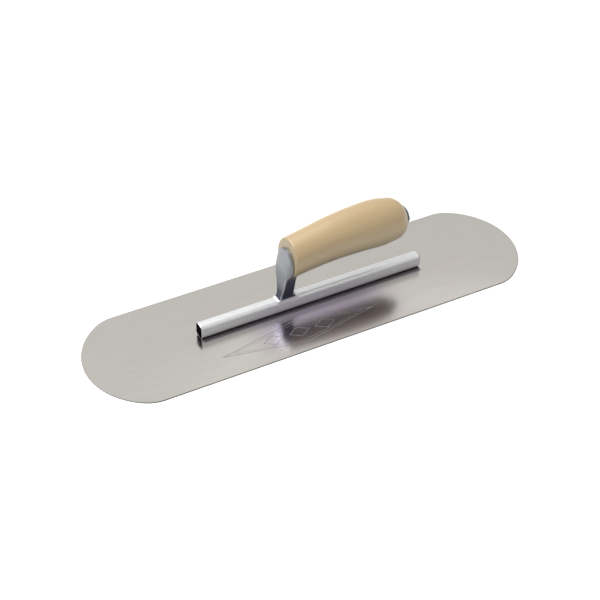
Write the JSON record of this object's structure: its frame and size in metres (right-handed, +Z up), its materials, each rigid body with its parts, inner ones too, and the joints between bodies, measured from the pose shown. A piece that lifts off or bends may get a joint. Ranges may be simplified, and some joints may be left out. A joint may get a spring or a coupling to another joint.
{
  "type": "steel finishing trowel",
  "caption": "Flat steel finishing trowel with rounded ends, a riveted bar mounting with a leaning post, and a round hump-backed wooden handle held by a hexagon nut",
  "frame": {"origin": "middle of the blade's underside, on the surface the trowel rests on", "axes": "+X runs along the blade towards the nut end of the handle, +Y is across the blade, +Z is up from the blade to the handle"},
  "size_m": [0.4064, 0.1142, 0.0817],
  "materials": {
    "blade_steel": "fine brushed along the length",
    "aluminium": "polished casting",
    "wood": "smooth sanded hardwood",
    "plated_steel": "bright zinc plate",
    "rivet_steel": "ground flush"
  },
  "bodies": {
    "root": {"blade": "blade_steel", "mounting": "aluminium", "handle": "wood", "handle_rod": "plated_steel", "washer": "plated_steel", "nut": "plated_steel", "rivet_1": "rivet_steel", "rivet_2": "rivet_steel", "rivet_3": "rivet_steel", "rivet_4": "rivet_steel", "rivet_5": "rivet_steel", "rivet_6": "rivet_steel", "rivet_7": "rivet_steel", "rivet_8": "rivet_steel"}
  },
  "joints": []
}
